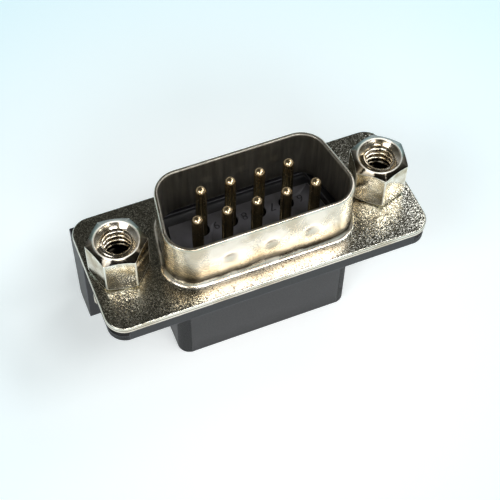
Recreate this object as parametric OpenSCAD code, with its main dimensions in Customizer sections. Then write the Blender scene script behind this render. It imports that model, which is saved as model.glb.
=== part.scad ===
// Right-angle nine-way D-subminiature plug for a circuit board.
//
// The origin is the centre of the steel flange's front face. +Z is the way a
// mating connector leaves, +X runs along the flange, and the circuit board
// lies square to the flange on the +Y side. Sizes are in millimetres.

/* [Steel shell] */
// Length of the flange
flange_w = 30.81; // [30:0.01:34]
// Height of the flange
flange_h = 12.55; // [12:0.01:15]
// Corner radius of the flange
flange_r = 1.8; // [0.8:0.1:3]
// Thickness of the flange sheet
flange_t = 0.65; // [0.4:0.05:1]
// Thickness of the drawn D wall
wall_t = 0.38; // [0.3:0.02:0.6]
// Widest inside width of the D
shell_inner_w = 16.92; // [16.6:0.01:19]
// Inside depth of the D
shell_inner_d = 8.04; // [7.9:0.01:9.5]
// Slant of the D's two ends, in degrees
shell_slant = 10; // [6:1:12]
// Inside corner radius of the D
shell_inner_r = 2.17; // [1.5:0.01:2.6]
// Height of the D above the flange
shell_h = 5.6; // [4.5:0.1:7]
// Outside radius where the D turns into the flange
foot_r = 0.5; // [0.4:0.1:1.2]
// Rounding of the flange's front edge
flange_edge_r = 0.18; // [0.05:0.01:0.3]

/* [Grounding dimples] */
// Places of the dimples along the wide side
dimple_x_wide = [-3.7, 0.2, 4.0]; // [-6:0.1:6]
// Places of the dimples along the narrow side
dimple_x_narrow = [-2.7, 0.7, 4.1]; // [-5:0.1:5]
// Height of the dimples above the flange
dimple_z = 2.9; // [2.2:0.1:3.6]
// How far a dimple reaches inwards
dimple_depth = 0.22; // [0.1:0.02:0.3]
// Radius of the punch that made them
dimple_punch_r = 0.8; // [0.5:0.1:1.2]

/* [Contacts] */
// Distance between contacts in a row
pitch = 2.77; // [2.5:0.01:2.9]
// Distance between the two rows
row_gap = 2.84; // [2.54:0.01:3]
// Diameter of the mating pin
pin_d = 1.02; // [0.9:0.01:1.1]
// Height of the pin tips above the flange
pin_top = 5.85; // [5:0.05:6.5]
// Diameter of the tails
tail_d = 0.76; // [0.5:0.02:0.8]
// Distance from the flange's front to the nearer row of tails
tail_setback = 8.08; // [7.8:0.01:9.5]
// Distance between the two rows of tails
tail_row_gap = 2.54; // [2.4:0.01:2.84]
// Bend radius of the tails, to their middle
bend_r = 1.1; // [0.8:0.1:1.3]
// How far the tails stand out below the board face
tail_out = 3.2; // [2:0.1:4]

/* [Moulded housing] */
// Height from the middle of the flange to the board face
board_y = 6.2; // [6:0.1:8]
// Thickness of the moulded flange behind the steel
body_flange_t = 1.4; // [1.2:0.1:2.5]
// How far the moulded flange stays inside the steel edge
body_inset = 0.1; // [0:0.05:0.4]
// Width of the block that covers the bent contacts
block_w = 17.1; // [17:0.1:19]
// Distance from the middle of the flange to the block's outer face
block_y = 4.2; // [4.1:0.1:5]
// Corner radius of the block
block_r = 1.2; // [0.5:0.1:2]
// Side wall of the block
block_wall = 0.55; // [0.5:0.05:0.8]
// Wall over the contacts
block_top_wall = 0.7; // [0.6:0.05:0.9]
// Rear wall of the block
block_rear_wall = 0.5; // [0.4:0.05:1]
// Thickness of a foot at its rear end
foot_t = 3.1; // [2.6:0.1:3.6]
// How far a foot stays inside the end of the steel flange
foot_inset = 0.07; // [0:0.01:0.5]

/* [Contact insert] */
// Height of the insert's face below the flange's front
insert_drop = 0.5; // [0.3:0.05:0.6]
// Half width of the insert at the middle
insert_half_w = 7.4; // [7.2:0.05:7.6]
// Half height of the insert
insert_half_h = 2.83; // [2.6:0.01:3]
// Width of the open gutter behind the insert
gutter_h = 1.32; // [0.8:0.02:1.4]
// Width of the open gutter beside the insert
gutter_w = 0.5; // [0.3:0.05:0.6]
// Depth of the gutter below the moulded flange's face
gutter_depth = 0.7; // [0.4:0.05:1]
// Depth of each contact's shank below the insert's face
shank_drop = 0.15; // [0.1:0.05:0.3]

/* [Screw locks] */
// Distance between the two screw locks
lock_spacing = 24.99; // [24.5:0.01:27]
// Size across the flats of the hexagon
hex_af = 4.76; // [4.5:0.01:5]
// Height of the hexagon
hex_h = 4.35; // [3.5:0.05:6]
// Turn of the left and the right hexagon, in degrees
hex_turn = [48, 18];
// Outside diameter of the screw thread
thread_d = 2.84; // [2.5:0.01:3]
// Diameter of the threaded hole at its crests
thread_bore_d = 2.36; // [2:0.01:2.5]
// Depth of the plain part at the mouth of the threaded hole
entry_depth = 0.6; // [0.4:0.1:1.2]
// Size across the flats of the nut
nut_af = 4.76; // [4.5:0.01:5]
// Thickness of the nut
nut_h = 2.38; // [1.5:0.01:2.6]

/* [Board locks] */
// Width of the fork in the foot
fork_w = 2.6; // [2:0.1:3]
// Thickness of the fork's strip
fork_t = 0.5; // [0.3:0.05:0.8]
// Span over the barbs
barb_w = 3.5; // [3.2:0.1:3.8]
// How far the fork stands out below the board face
fork_out = 3.3; // [2.5:0.1:4]

/* [Fits] */
// Gap between moulded parts that slide together
slide_gap = 0.05; // [0.03:0.01:0.1]
// Gap all round a contact in its hole
pin_gap = 0.02; // [0.02:0.01:0.05]
// Extra radius of a screw's clearance hole
screw_gap = 0.18; // [0.1:0.01:0.3]

/* [Hidden] */
$fn = 64;
side_names = ["left", "right"];
contact_count = 9;
front_row_count = 5;

cut = 0.1;                      // how far a cutter overshoots a face
steel_color = "#cfc8b8";
moulding_color = "#3c3c40";
insert_color = "#4a4a4e";
gold_color = "#c9a04e";
tin_color = "#b9b9b4";

// the D's outer wall: half depth, corner radius and half width at mid height
shell_d = shell_inner_d / 2 + wall_t;
shell_r = shell_inner_r + wall_t;
shell_m = shell_inner_w / 2 + wall_t - widest_minus_mid(shell_d, shell_r);
// the D's inner wall
inner_m = shell_m - wall_t / cos(shell_slant);

// inside of the bend, a mean sheet thickness larger than its outside
inner_bend_r = foot_r + (wall_t + flange_t) / 2;
bend_arc_steps = 8;
bend_corner_steps = 10;

// depths behind the flange, all negative
body_front_z = -flange_t;
body_back_z = body_front_z - body_flange_t;
far_tail_z = -(tail_setback + tail_row_gap);
cavity_back_z = far_tail_z - tail_d / 2 - 0.1;
rear_z = cavity_back_z - block_rear_wall;
cavity_front_z = body_back_z - 2.4;

// the block stands a little clear of the board
block_board_y = board_y - 0.3;
cavity_half_w = block_w / 2 - block_wall;
screw_hole_r = thread_d / 2 + screw_gap;

// contacts: a shank fills the insert, and a collar stops it from the back
shank_r = pin_d / 2 + 0.19;
shank_top_z = -insert_drop - shank_drop;
collar_front_z = body_back_z - 1.1;
collar_h = 1.4;
collar_r = shank_r + 0.2;

// insert: a shoulder behind the housing's inner wall
shoulder_t = 1.2;
shoulder_step = 0.5;

// spacer that keeps the tails on their grid
spacer_t = 1.2;
spacer_len = 4.6;
spacer_y = block_board_y - 0.2 - spacer_t;
spacer_back_z = cavity_back_z + slide_gap;
snap_r = 0.25;

// screw locks
chamfer_slope = tan(30);
land_r = 2.04;
mouth_r = 1.95;
entry_r = thread_d / 2 + 0.03;
bore_bottom_z = 0.35;
drill_cone = 0.6;
nut_back_z = body_back_z - nut_h;
stud_end_z = nut_back_z - 0.5;

// board locks, between the two rows of tails
lock_z = (-tail_setback + far_tail_z) / 2;

// How much wider the D is at its widest than at mid height.
function widest_minus_mid(hd, r) =
    ((hd - r) * sin(shell_slant) - r) / cos(shell_slant) + r;

// Middle of a D corner: side is -1 for the wide long side, +1 for the narrow.
function corner_x(m, hd, r, side) =
    m - (r + side * (hd - r) * sin(shell_slant)) / cos(shell_slant);

// Round corners of a D: middle, first outward normal and turn.
function d_corners(m, hd, r) =
    let (s = shell_slant, yc = hd - r, wide_x = corner_x(m, hd, r, -1),
         narrow_x = corner_x(m, hd, r, 1))
    [[wide_x, -yc, -90, 90 + s], [narrow_x, yc, s, 90 - s],
     [-narrow_x, yc, 90, 90 - s], [-wide_x, -yc, 180 - s, 90 + s]];

// Points round the steel D at a distance outside its outer wall.
function d_loop(outside) =
    [for (c = d_corners(shell_m, shell_d, shell_r), k = [0:bend_corner_steps])
        let (a = c[2] + c[3] * k / bend_corner_steps, r = shell_r + outside)
        [c[0] + r * cos(a), c[1] + r * sin(a)]];

// Half width of a sharp D at the height y.
function d_half(m, y) = m - y * tan(shell_slant);

// Contacts 1 to 5 are the long row, from +X to -X, and 6 to 9 the short one.
function in_long_row(i) = i <= front_row_count;
function contact_x(i) = in_long_row(i)
    ? ((front_row_count + 1) / 2 - i) * pitch
    : ((front_row_count + 1 + contact_count) / 2 - i) * pitch;
function contact_y(i) = (in_long_row(i) ? -1 : 1) * row_gap / 2;
function contact_tail_z(i) = in_long_row(i) ? far_tail_z : -tail_setback;

// ---------------------------------------------------------------- outlines

module rounded_rect(w, h, r) {
    square([w - 2 * r, h], center = true);
    square([w, h - 2 * r], center = true);
    for (x = [-1, 1], y = [-1, 1])
        translate([x * (w / 2 - r), y * (h / 2 - r)]) circle(r);
}

// D outline with round corners, its wide side towards -Y.
module d_outline(m, hd, r) {
    s = shell_slant;
    for (side = [-1, 1], hand = [-1, 1])
        translate([hand * corner_x(m, hd, r, side), side * (hd - r)]) circle(r);
    right = [for (side = [-1, 1]) let (x = corner_x(m, hd, r, side), y = side * (hd - r))
        each side < 0 ? [[x, -hd], [x + r * cos(s), y + r * sin(s)]]
                      : [[x + r * cos(s), y + r * sin(s)], [x, hd]]];
    left = [for (k = [len(right) - 1:-1:0]) [-right[k].x, right[k].y]];
    polygon(concat(right, left));
}

// D outline with sharp corners.
module d_sharp(m, hd) {
    polygon([[-d_half(m, -hd), -hd], [d_half(m, -hd), -hd],
             [d_half(m, hd), hd], [-d_half(m, hd), hd]]);
}

// Sweeps a profile round the D. The profile's X is the distance outside the
// outline and its Y is the height.
module sweep_d(m, hd, r) {
    s = shell_slant;
    wide_x = corner_x(m, hd, r, -1);
    narrow_x = corner_x(m, hd, r, 1);
    yc = hd - r;
    slant_len = norm([wide_x - narrow_x, 2 * yc]);
    for (c = d_corners(m, hd, r))
        translate([c[0], c[1], 0]) rotate([0, 0, c[2]])
            rotate_extrude(angle = c[3]) translate([r, 0]) children();
    // straight sides: where each starts, outward normal and length
    for (c = [[wide_x, -yc, -90, 2 * wide_x], [-narrow_x, yc, 90, 2 * narrow_x],
              [narrow_x, yc, s, slant_len], [-wide_x, -yc, 180 - s, slant_len]])
        translate([c[0], c[1], 0]) rotate([0, 0, c[2]]) rotate([90, 0, 0])
            linear_extrude(c[3]) translate([r, 0]) children();
}

// Sweeps an edge profile round a rounded rectangle.
module sweep_rect(w, h, r) {
    for (q = [0:3]) {
        size = q % 2 == 0 ? [w, h] : [h, w];
        rotate([0, 0, 90 * q]) {
            translate([size.x / 2 - r, size.y / 2 - r, 0])
                rotate_extrude(angle = 90) translate([r, 0]) children();
            translate([size.x / 2 - r, size.y / 2 - r, 0]) rotate([90, 0, 0])
                linear_extrude(size.y - 2 * r) translate([r, 0]) children();
        }
    }
}

// Hexagonal bar whose ends are turned to a cone down to the radius land.
module hex_bar(af, h, land) {
    corner_r = af / sqrt(3);
    run = corner_r - land;
    drop = run * chamfer_slope;
    intersection() {
        cylinder(r = corner_r, h = h, $fn = 6);
        rotate_extrude()
            polygon([[0, 0], [land, 0], [corner_r, drop], [corner_r, h - drop],
                     [land, h], [0, h]]);
    }
}

// ------------------------------------------------------------- steel shell

// The D at a distance inside its outer wall.
module shell_outline(inside) {
    d_outline(shell_m - inside / cos(shell_slant), shell_d - inside, shell_r - inside);
}

// Puts a child on each dimple, with its +Y pointing into the D.
module at_dimples() {
    for (x = dimple_x_wide) translate([x, -shell_d, dimple_z]) children();
    for (x = dimple_x_narrow)
        translate([x, shell_d, dimple_z]) rotate([0, 0, 180]) children();
}

// The dent is a ball pressed into the outer face, and the bump inside is the
// same ball one sheet thickness larger.
module dimple_ball(r) {
    translate([0, dimple_depth - dimple_punch_r, 0]) sphere(r);
}

// Ring in a corner between the D's wall and the flange: it fills the corner
// outside the D and is cut away inside it. Its round face is an arc in steps,
// whose ends run a little past both faces.
module bend_ring(corner, r) {
    slip = 0.02;
    deep = 0.12;
    centre = corner + [r, r];
    arc = [for (k = [1:bend_arc_steps - 1])
        centre - r * [cos(90 * k / bend_arc_steps), sin(90 * k / bend_arc_steps)]];
    section = concat([corner - [deep, deep], [corner.x - deep, centre.y],
                      [corner.x - slip, centre.y]], arc,
                     [[centre.x, corner.y - slip], [centre.x, corner.y - deep]]);
    n = len(d_loop(0));
    rows = len(section);
    polyhedron(
        points = [for (p = section, q = d_loop(p.x)) [q.x, q.y, p.y]],
        faces = [for (i = [0:rows - 1], j = [0:n - 1])
            let (i2 = (i + 1) % rows, j2 = (j + 1) % n)
            [i * n + j, i * n + j2, i2 * n + j2, i2 * n + j]]);
}

module front_shell() {
    edge_w = 1.0;
    rim_r = wall_t / 2;
    color(steel_color) difference() {
        union() {
            // drawn wall with a rolled rim
            translate([0, 0, -flange_t]) linear_extrude(flange_t + shell_h - rim_r)
                difference() {
                    shell_outline(0);
                    shell_outline(wall_t);
                }
            sweep_d(shell_m, shell_d, shell_r)
                translate([-rim_r, shell_h - rim_r]) circle(rim_r);
            // flat of the flange, with a rounded front edge all round
            translate([0, 0, -flange_t]) linear_extrude(flange_t) difference() {
                rounded_rect(flange_w - edge_w, flange_h - edge_w, flange_r - edge_w / 2);
                shell_outline(rim_r);
            }
            sweep_rect(flange_w, flange_h, flange_r) {
                translate([-flange_edge_r, -flange_edge_r]) circle(flange_edge_r);
                translate([-flange_edge_r, -flange_t])
                    square([flange_edge_r, flange_t - flange_edge_r]);
                translate([-edge_w, -flange_t])
                    square([edge_w - flange_edge_r, flange_t]);
            }
            bend_ring([0, 0], foot_r);
            // bumps that press on the mating shell
            intersection() {
                at_dimples() dimple_ball(dimple_punch_r + wall_t);
                translate([0, 0, dimple_z])
                    linear_extrude(2 * dimple_punch_r + 4 * wall_t, center = true)
                        shell_outline(rim_r);
            }
        }
        at_dimples() dimple_ball(dimple_punch_r);
        bend_ring([-wall_t, -flange_t], inner_bend_r);
        for (s = [-1, 1])
            translate([s * lock_spacing / 2, 0, -flange_t - cut])
                cylinder(r = screw_hole_r, h = flange_t + 2 * cut);
    }
}

// ----------------------------------------------------------------- housing

module block_outline() {
    w = block_w;
    translate([-w / 2, block_r - block_y]) square([w, block_y - block_r + block_board_y]);
    translate([-w / 2 + block_r, -block_y]) square([w - 2 * block_r, block_r + cut]);
    for (s = [-1, 1])
        translate([s * (w / 2 - block_r), -block_y + block_r]) circle(block_r);
}

// One foot, seen from its end. It is thicker towards the flange, where its
// face lies under a flat of the nut and keeps it from turning.
module foot_profile() {
    rear_y = board_y - foot_t;
    nut_y = nut_af / 2 + slide_gap;
    front_z = body_front_z - cut;
    rise = (rear_y - nut_y) / (body_back_z - rear_z);
    heel_r = 0.6;
    difference() {
        polygon([[rear_y - rise * (front_z - rear_z), front_z], [rear_y, rear_z],
                 [board_y, rear_z], [board_y, front_z]]);
        translate([board_y - heel_r, rear_z + heel_r]) difference() {
            translate([0, -heel_r - cut]) square([heel_r + cut, heel_r + cut]);
            circle(heel_r);
        }
    }
}

module foot() {
    inner_x = block_w / 2 - cut;
    outer_x = flange_w / 2 - foot_inset;
    relief = [3.8, 0.4, 6.4];
    difference() {
        translate([inner_x, 0, 0]) rotate([90, 0, 90])
            linear_extrude(outer_x - inner_x) foot_profile();
        // slot that the board lock is pressed into
        translate([lock_spacing / 2, 0, lock_z])
            cube([fork_w, 4 * board_y, fork_t + 2 * slide_gap], center = true);
        // relief, so that the foot stands on its rails
        translate([lock_spacing / 2, board_y, (rear_z + body_back_z) / 2])
            cube(relief, center = true);
    }
}

module housing() {
    pocket_d = insert_half_h + gutter_h;
    pocket_m = insert_half_w + gutter_w;
    color(moulding_color) difference() {
        union() {
            translate([0, 0, body_back_z]) linear_extrude(body_flange_t)
                rounded_rect(flange_w - 2 * body_inset, flange_h - 2 * body_inset,
                             flange_r - body_inset);
            translate([0, 0, rear_z]) linear_extrude(body_front_z - cut - rear_z)
                block_outline();
            foot();
            mirror([1, 0, 0]) foot();
        }
        // gutter round the insert's face
        translate([0, 0, body_front_z - gutter_depth]) linear_extrude(gutter_depth + cut)
            d_sharp(pocket_m, pocket_d);
        // window that the insert is pushed through from behind
        translate([0, 0, cavity_front_z - cut])
            linear_extrude(body_front_z - cavity_front_z + 2 * cut)
                d_sharp(insert_half_w + slide_gap, insert_half_h + slide_gap);
        // room for the bent contacts, open towards the board
        translate([-cavity_half_w, block_top_wall - block_y, cavity_back_z])
            cube([2 * cavity_half_w, block_y - block_top_wall + board_y,
                  cavity_front_z - cavity_back_z]);
        // grooves that the tail spacer snaps into
        for (s = [-1, 1])
            translate([s * cavity_half_w, spacer_y + spacer_t / 2, cavity_back_z])
                cylinder(r = snap_r, h = spacer_len + 2 * slide_gap);
        // clearance holes of the screw locks
        for (s = [-1, 1])
            translate([s * lock_spacing / 2, 0, body_back_z - cut])
                cylinder(r = screw_hole_r, h = body_flange_t + 2 * cut);
    }
}

// ---------------------------------------------------------- contact insert

module contact_insert() {
    shoulder_back_z = cavity_front_z - shoulder_t;
    color(insert_color) difference() {
        union() {
            translate([0, 0, cavity_front_z - cut])
                linear_extrude(-insert_drop - cavity_front_z + cut)
                    d_sharp(insert_half_w, insert_half_h);
            // shoulder that stops against the housing's inner wall
            translate([0, 0, shoulder_back_z]) linear_extrude(shoulder_t)
                intersection() {
                    d_sharp(insert_half_w + shoulder_step, insert_half_h + shoulder_step);
                    square(2 * (cavity_half_w - slide_gap), center = true);
                }
        }
        for (i = [1:contact_count]) translate([contact_x(i), contact_y(i), 0]) {
            translate([0, 0, collar_front_z - cut])
                cylinder(r = shank_r + pin_gap, h = 5);
            translate([0, 0, shoulder_back_z - cut])
                cylinder(r = collar_r + pin_gap, h = collar_front_z - shoulder_back_z + cut);
        }
    }
}

// ------------------------------------------------------------- tail spacer

module tail_spacer() {
    half_w = cavity_half_w - slide_gap;
    color(insert_color) difference() {
        union() {
            translate([-half_w, spacer_y, spacer_back_z])
                cube([2 * half_w, spacer_t, spacer_len]);
            for (s = [-1, 1])
                translate([s * half_w, spacer_y + spacer_t / 2, spacer_back_z])
                    cylinder(r = snap_r, h = spacer_len);
        }
        for (i = [1:contact_count])
            translate([contact_x(i), spacer_y - cut, contact_tail_z(i)]) rotate([-90, 0, 0])
                cylinder(r = tail_d / 2 + pin_gap, h = spacer_t + 2 * cut);
    }
}

// ---------------------------------------------------------------- contacts

// Turned pin with a ball end, a shank and collar held in the insert, and a
// bent tail.
module contact(i) {
    y0 = contact_y(i);
    z_tail = contact_tail_z(i);
    pin_r = pin_d / 2;
    tail_r = tail_d / 2;
    tip_cone = 0.5;
    tail_end_y = board_y + tail_out;
    color(gold_color) translate([contact_x(i), 0, 0]) {
        translate([0, y0, 0]) {
            translate([0, 0, pin_top - pin_r]) sphere(pin_r);
            translate([0, 0, shank_top_z - cut])
                cylinder(r = pin_r, h = pin_top - pin_r - shank_top_z + cut);
            translate([0, 0, collar_front_z - cut])
                cylinder(r = shank_r, h = shank_top_z - collar_front_z + cut);
            translate([0, 0, collar_front_z - collar_h]) cylinder(r = collar_r, h = collar_h);
            translate([0, 0, z_tail + bend_r])
                cylinder(r = tail_r, h = collar_front_z - collar_h - z_tail - bend_r + cut);
        }
        translate([0, y0 + bend_r, z_tail + bend_r]) rotate([0, 90, 0]) rotate([0, 0, -90])
            rotate_extrude(angle = 90) translate([bend_r, 0]) circle(tail_r);
        translate([0, y0 + bend_r, z_tail]) rotate([-90, 0, 0]) {
            cylinder(r = tail_r, h = tail_end_y - tip_cone - y0 - bend_r);
            translate([0, 0, tail_end_y - tip_cone - y0 - bend_r])
                cylinder(r1 = tail_r, r2 = tail_r / 2, h = tip_cone);
        }
    }
}

// ------------------------------------------------------------- screw locks

// Hexagonal standoff with a threaded hole in its head and a threaded stud.
module jackscrew(k) {
    side = 2 * k - 1;
    thread_r = thread_d / 2;
    bore_r = thread_bore_d / 2;
    sink_h = mouth_r - entry_r;
    step_h = entry_r - bore_r;
    entry_z = hex_h - entry_depth;
    color(steel_color) translate([side * lock_spacing / 2, 0, 0]) difference() {
        union() {
            rotate([0, 0, hex_turn[k]]) hex_bar(hex_af, hex_h, land_r);
            translate([0, 0, stud_end_z]) cylinder(r = thread_r, h = cut - stud_end_z);
        }
        // the hole's section, from its drilled bottom to its countersunk mouth
        rotate_extrude()
            polygon([[0, bore_bottom_z], [bore_r, bore_bottom_z + drill_cone],
                     [bore_r, entry_z - step_h], [entry_r, entry_z],
                     [entry_r, hex_h - sink_h], [mouth_r + cut, hex_h + cut],
                     [0, hex_h + cut]]);
    }
}

module captive_nut(k) {
    side = 2 * k - 1;
    color(steel_color) translate([side * lock_spacing / 2, 0, nut_back_z]) difference() {
        hex_bar(nut_af, nut_h, nut_af / 2 - 0.1);
        translate([0, 0, -cut]) cylinder(r = thread_d / 2 + pin_gap, h = nut_h + 2 * cut);
    }
}

// ------------------------------------------------------------- board locks

// Forked clip cut from a strip. Its outline is X across and Y downwards.
module board_lock(k) {
    side = 2 * k - 1;
    slit = 0.4;
    barb_y = board_y + 1.75;
    half = [[fork_w / 2, board_y - foot_t + 0.2], [fork_w / 2, board_y - 0.2],
            [fork_w / 2 - 0.15, board_y], [barb_w / 2, barb_y],
            [barb_w / 2 - 0.15, barb_y + 0.35], [slit + 0.35, board_y + fork_out],
            [slit, board_y + fork_out], [slit, board_y - 0.9]];
    mirrored = [for (i = [len(half) - 1:-1:0]) [-half[i].x, half[i].y]];
    color(tin_color)
        translate([side * lock_spacing / 2, 0, lock_z - fork_t / 2])
            linear_extrude(fork_t) polygon(concat(half, mirrored));
}

// ---------------------------------------------------------------- assembly

front_shell();
housing();
contact_insert();
tail_spacer();
for (i = [1:contact_count])
    contact(i);
for (k = [0:1])
    jackscrew(k);
for (k = [0:1])
    captive_nut(k);
for (k = [0:1])
    board_lock(k);
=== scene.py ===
from math import ceil, cos, exp, pi, radians, sin, sqrt, tan

import bmesh
import bpy
from mathutils import Matrix, Vector
from mathutils.geometry import delaunay_2d_cdt


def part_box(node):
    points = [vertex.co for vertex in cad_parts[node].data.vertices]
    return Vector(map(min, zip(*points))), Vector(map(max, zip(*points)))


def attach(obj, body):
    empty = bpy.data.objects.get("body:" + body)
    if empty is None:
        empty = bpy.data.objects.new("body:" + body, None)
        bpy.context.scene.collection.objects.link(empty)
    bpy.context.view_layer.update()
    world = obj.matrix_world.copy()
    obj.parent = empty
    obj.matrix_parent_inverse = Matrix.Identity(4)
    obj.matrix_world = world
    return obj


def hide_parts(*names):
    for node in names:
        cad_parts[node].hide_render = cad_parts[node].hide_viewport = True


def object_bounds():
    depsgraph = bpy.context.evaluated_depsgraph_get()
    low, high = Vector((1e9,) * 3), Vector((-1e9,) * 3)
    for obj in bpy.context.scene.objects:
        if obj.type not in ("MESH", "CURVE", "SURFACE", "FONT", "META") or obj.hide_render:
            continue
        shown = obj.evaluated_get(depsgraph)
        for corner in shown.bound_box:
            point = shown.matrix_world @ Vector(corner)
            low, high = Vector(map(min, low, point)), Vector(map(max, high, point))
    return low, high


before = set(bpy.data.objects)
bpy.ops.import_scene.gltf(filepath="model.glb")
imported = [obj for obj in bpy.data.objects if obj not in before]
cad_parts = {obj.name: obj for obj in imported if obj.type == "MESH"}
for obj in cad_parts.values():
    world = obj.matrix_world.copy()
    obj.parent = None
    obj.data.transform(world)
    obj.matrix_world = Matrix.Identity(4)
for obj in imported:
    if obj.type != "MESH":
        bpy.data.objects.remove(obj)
cad_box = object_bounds()
scene = bpy.context.scene
MM = 0.001


# ---------------------------------------------------------------------------
# Housing: one black moulding of glass-filled polyester with the flange behind
# the steel, the block over the bent contacts and two feet. The tool leaves its
# faces finely grained, and a lighter grey is painted on its rounded edges as a
# highlight.

MERGE, SAME_POINT = 0.002, 0.001  # points closer than this are one
SHARP, SHORTEST_ROUNDED = radians(28), 1.0  # edges over these two are rounded
SHADE_FROM, SHADE_FULL = 0.01, 0.04  # depths under a face over which painted shade darkens it


def linear(code):
    """An sRGB hex colour as linear red, green, blue and alpha."""
    channels = [int(code[i:i + 2], 16) / 255 for i in (1, 3, 5)]
    return [c / 12.92 if c <= 0.04045 else ((c + 0.055) / 1.055) ** 2.4
            for c in channels] + [1.0]


def add(tree, kind, sockets=None, stops=None, **settings):
    """Adds a node. A socket takes a number, a colour or another node's output."""
    new = tree.nodes.new(kind)
    for name, value in settings.items():
        setattr(new, name, value)
    for name, value in (sockets or {}).items():
        if isinstance(value, bpy.types.NodeSocket):
            tree.links.new(value, new.inputs[name])
        else:
            new.inputs[name].default_value = value
    if stops:
        ramp = new.color_ramp
        while len(ramp.elements) < len(stops):
            ramp.elements.new(0.5)
        for element, (place, colour) in zip(ramp.elements, stops):
            element.position = place
            element.color = linear(colour) if isinstance(colour, str) else [colour] * 3 + [1]
    return new


def new_material(name, **constants):
    """A material with its tree, its shader and the Object coordinates in millimetres."""
    made = bpy.data.materials.new(name)
    made.use_nodes = True
    tree = made.node_tree
    shader = tree.nodes["Principled BSDF"]
    for socket, value in constants.items():
        shader.inputs[socket.replace("_", " ").title()].default_value = value
    place = add(tree, "ShaderNodeTexCoord").outputs["Object"]
    mm = add(tree, "ShaderNodeVectorMath", {0: place, 1: [1 / MM] * 3}, operation="MULTIPLY")
    return made, tree, shader, mm.outputs[0]


def moulded_polyester(name, dark, light, top=None):
    """Glass-filled polyester, moulded: matt, with a fine grain from the tool, drawn
    coarser than it is so that it shows. What is sunk just under a face at the height
    top is darkened as painted shade."""
    made, tree, shader, mm = new_material(name)
    cloud = add(tree, "ShaderNodeTexNoise", {"Vector": mm, "Scale": 0.45, "Detail": 4.0})
    tone = add(tree, "ShaderNodeValToRGB", {"Fac": cloud.outputs["Fac"]},
               stops=[(0.3, dark), (0.72, light)])
    grain = add(tree, "ShaderNodeTexNoise", {"Vector": mm, "Scale": 9.0, "Detail": 3.0})
    gloss = add(tree, "ShaderNodeMapRange",
                {"Value": grain.outputs["Fac"], "To Min": 0.38, "To Max": 0.62})
    relief = add(tree, "ShaderNodeBump", {"Height": grain.outputs["Fac"], "Strength": 0.35,
                                          "Distance": 0.02 * MM})
    colour = tone.outputs["Color"]
    if top is not None:
        # painted shade: darker below the face at the height top, in the numbers and round the
        # insert
        height = add(tree, "ShaderNodeSeparateXYZ", {0: mm}).outputs["Z"]
        sunk = add(tree, "ShaderNodeMapRange", {"Value": height, "From Min": top / MM - SHADE_FROM,
                                                "From Max": top / MM - SHADE_FULL})
        colour = add(tree, "ShaderNodeMix", {0: sunk.outputs["Result"], 6: colour,
                                             7: linear("#1d1d20")}, data_type="RGBA").outputs[2]
    tree.links.new(colour, shader.inputs["Base Color"])
    tree.links.new(gloss.outputs["Result"], shader.inputs["Roughness"])
    tree.links.new(relief.outputs["Normal"], shader.inputs["Normal"])
    return made


def put(name, data):
    """A new object in the scene."""
    new = bpy.data.objects.new(name, data)
    scene.collection.objects.link(new)
    return new


def merged_copy(node, piece_name):
    """A copy of a CAD node, and its mesh with doubled points merged, still to be written."""
    piece = put(piece_name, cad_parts[node].data.copy())
    mesh = bmesh.new()
    mesh.from_mesh(piece.data)
    bmesh.ops.remove_doubles(mesh, verts=mesh.verts, dist=MERGE * MM)
    return piece, mesh


def finished_copy(node, width, material, piece_name, edge_highlight_material=None):
    """A merged copy of a CAD node with its long sharp edges slightly rounded. The
    rounding may have a finish of its own, a lighter colour painted on as a highlight."""
    piece, mesh = merged_copy(node, piece_name)
    bmesh.ops.dissolve_limit(mesh, angle_limit=radians(0.5), verts=mesh.verts,
                             edges=mesh.edges)
    bmesh.ops.recalc_face_normals(mesh, faces=mesh.faces)
    rounded = mesh.edges.layers.float.new("bevel_weight_edge")
    for edge in mesh.edges:
        if (edge.calc_length() > SHORTEST_ROUNDED * MM and edge.is_convex
                and edge.calc_face_angle(0.0) > SHARP):
            edge[rounded] = 1.0
    mesh.to_mesh(piece.data)
    mesh.free()
    bevel = piece.modifiers.new("edges", "BEVEL")
    bevel.width = width * MM
    bevel.segments = 2
    bevel.limit_method = "WEIGHT"
    bevel.use_clamp_overlap = False
    weight = piece.modifiers.new("normals", "WEIGHTED_NORMAL")
    weight.keep_sharp = True
    hand_over(piece, node, material)
    if edge_highlight_material:
        piece.data.materials.append(edge_highlight_material)
        bevel.material = 1
    return piece


def hand_over(piece, node, material):
    """Gives a piece its finish, and lets it stand for its CAD node."""
    piece.data.materials.clear()
    piece.data.materials.append(material)
    piece.data.shade_smooth()
    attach(piece, "root")
    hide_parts(node)


black_moulding = moulded_polyester("Glass filled polyester black", "#131316", "#1b1b1f")
# the grey on the housing's rounded edges is a painted highlight
edge_highlight_black = moulded_polyester("Glass filled polyester black edge highlight", "#3a3a3e", "#55565b")
finished_copy("housing", 0.08, black_moulding, "housing_moulding", edge_highlight_black)


# ---------------------------------------------------------------------------
# Insert and tail spacer: the same polyester in grey. The insert carries the
# contact numbers, sunk by the tool beside each hole.

grey_moulding = moulded_polyester("Glass filled polyester grey", "#45454b", "#56565c")
finished_copy("tail_spacer", 0.06, grey_moulding, "tail_spacer_strip")

PITCH = 2.77
FRONT_ROW, BACK_ROW = -1.42, 1.42
contact_place = {i: ((3 - i) * PITCH, FRONT_ROW) if i < 6 else ((7.5 - i) * PITCH, BACK_ROW)
                 for i in range(1, 10)}
NUMBER_SHIFT, NUMBER_H, NUMBER_DEPTH = (1.39, 0.05), 1.2, 0.08
insert_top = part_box("contact_insert")[1][2]


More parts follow.
